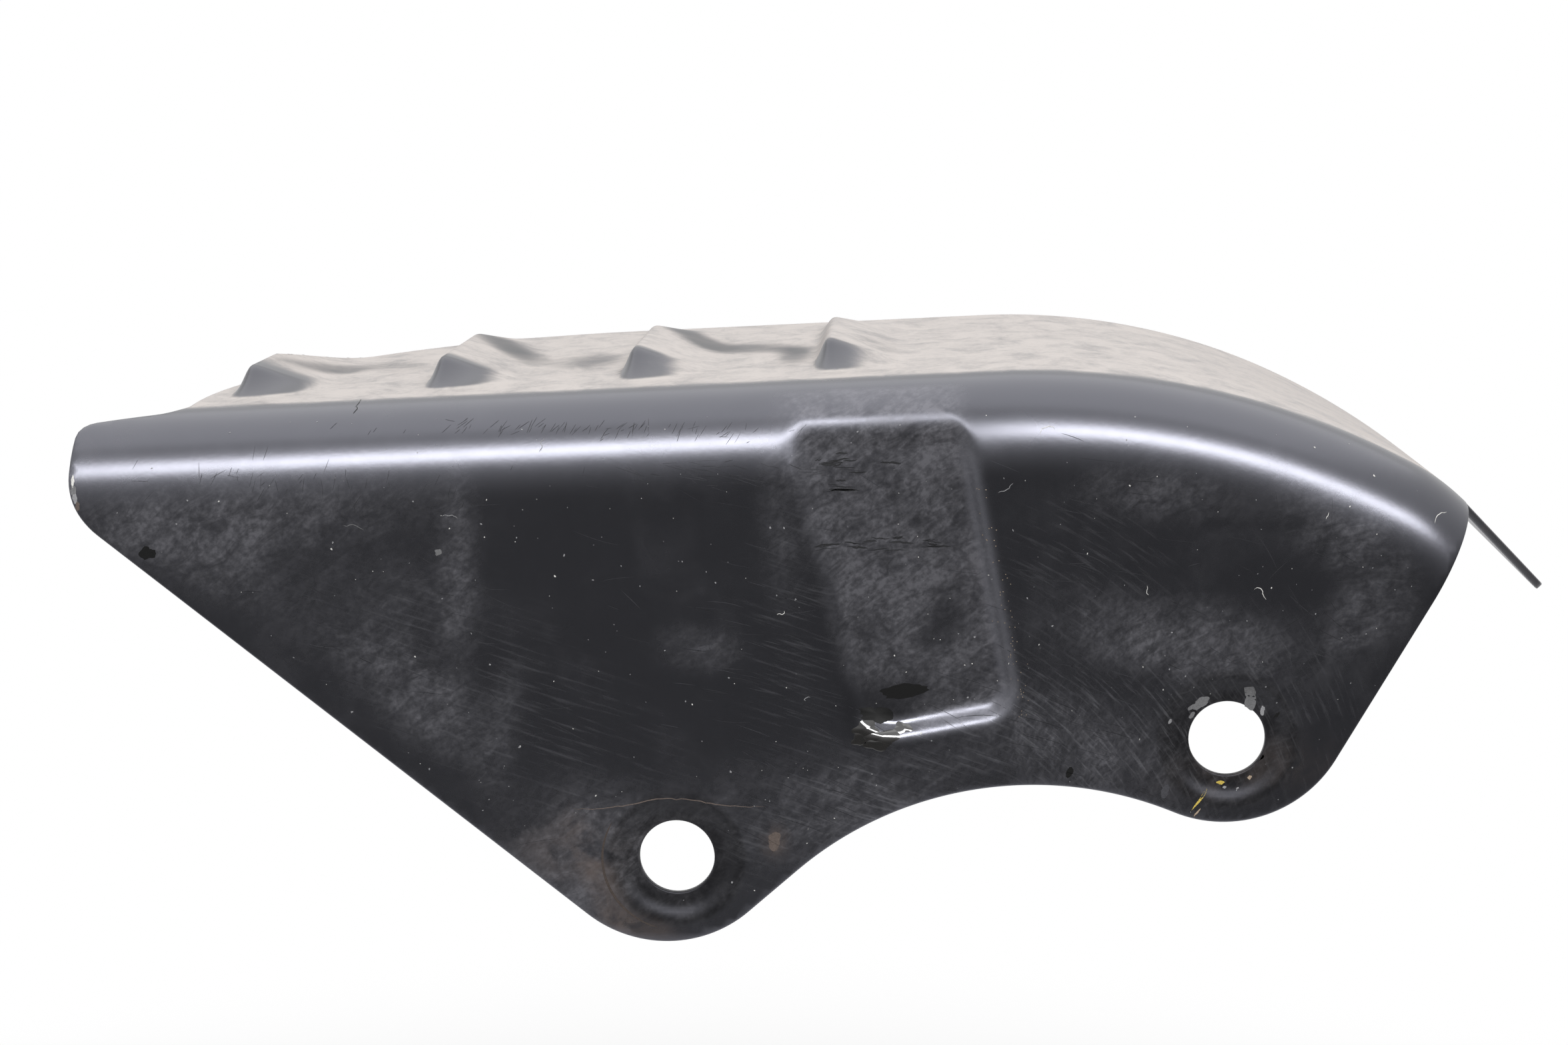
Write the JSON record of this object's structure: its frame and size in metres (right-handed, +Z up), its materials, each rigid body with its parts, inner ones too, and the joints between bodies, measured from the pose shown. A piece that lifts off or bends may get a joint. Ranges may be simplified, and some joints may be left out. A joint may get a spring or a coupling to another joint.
{
  "type": "sprocket guard",
  "caption": "Folded sheet-metal guard for a motorbike's front sprocket: an upright face with dished bolt holes and a pad, rolled over into a ribbed roof with a falling tail.",
  "frame": {"origin": "centre of the lower bolt hole, on the mounting face at the back of its dished seat", "axes": "+X along the guard from its tip to its tail, +Y from the outer face to the engine, +Z up towards the roof"},
  "size_m": [0.1815, 0.065, 0.0704],
  "materials": {
    "black_paint": "gloss black paint on steel, scuffed and dusty"
  },
  "bodies": {
    "root": {"sprocket_guard": "black_paint"}
  },
  "joints": []
}
